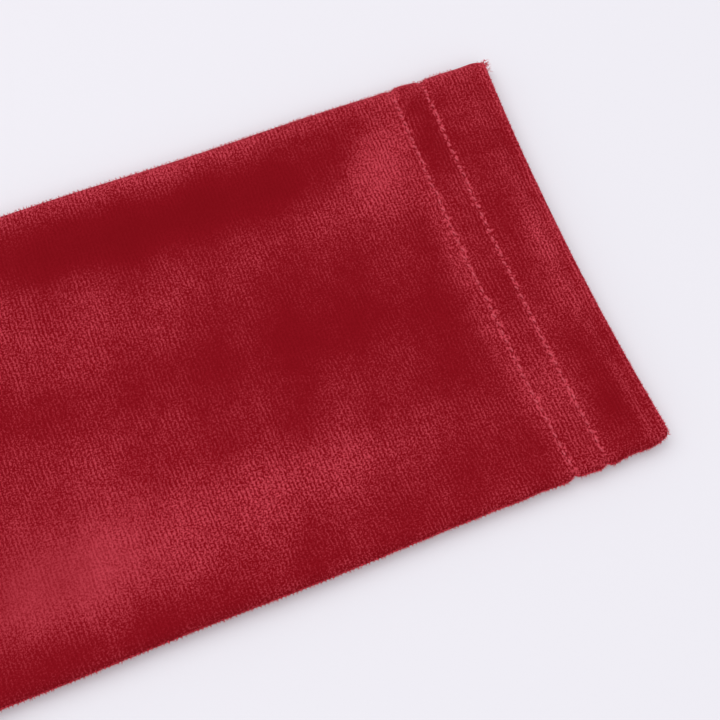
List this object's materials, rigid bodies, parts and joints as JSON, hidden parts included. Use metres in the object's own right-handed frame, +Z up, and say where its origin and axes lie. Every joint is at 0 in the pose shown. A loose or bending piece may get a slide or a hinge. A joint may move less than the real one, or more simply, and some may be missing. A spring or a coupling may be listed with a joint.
{
  "type": "opera gloves",
  "caption": "Long stretch-velvet opera gloves lying flat, with separate fingers, set-in thumbs and turned-in cuffs held by parallel rows of stitches.",
  "frame": {"origin": "on the resting surface, midway between the two gloves and midway along them", "axes": "+X from the left glove to the right glove, +Y from the cuffs to the fingertips, +Z up; both gloves lie palm down"},
  "size_m": [0.27, 0.55, 0.0048],
  "materials": {
    "velvet": "deep red stretch velvet, short dense pile with a soft sheen",
    "gusset_velvet": "the same velvet, cut as narrow finger gussets",
    "thread": "matching polyester sewing thread, slightly glossy"
  },
  "bodies": {
    "left_glove": {"left_back_panel": "velvet", "left_palm_panel": "velvet", "left_thumb_panel": "velvet", "left_fourchette_index_middle": "gusset_velvet", "left_fourchette_middle_ring": "gusset_velvet", "left_fourchette_ring_little": "gusset_velvet", "left_little_side_seam": "thread", "left_index_side_seam": "thread", "left_finger_seams": "thread", "left_thumb_seam": "thread", "left_hem_outer_row": "thread", "left_hem_inner_row": "thread", "left_hem_bobbin_rows": "thread"},
    "right_glove": {"right_back_panel": "velvet", "right_palm_panel": "velvet", "right_thumb_panel": "velvet", "right_fourchette_index_middle": "gusset_velvet", "right_fourchette_middle_ring": "gusset_velvet", "right_fourchette_ring_little": "gusset_velvet", "right_little_side_seam": "thread", "right_index_side_seam": "thread", "right_finger_seams": "thread", "right_thumb_seam": "thread", "right_hem_outer_row": "thread", "right_hem_inner_row": "thread", "right_hem_bobbin_rows": "thread"}
  },
  "joints": [
    {"name": "right_glove_lift", "type": "slide", "parent": "left_glove", "child": "right_glove", "axis": [0, 0, 1], "range_m": [0, 0.15]}
  ]
}
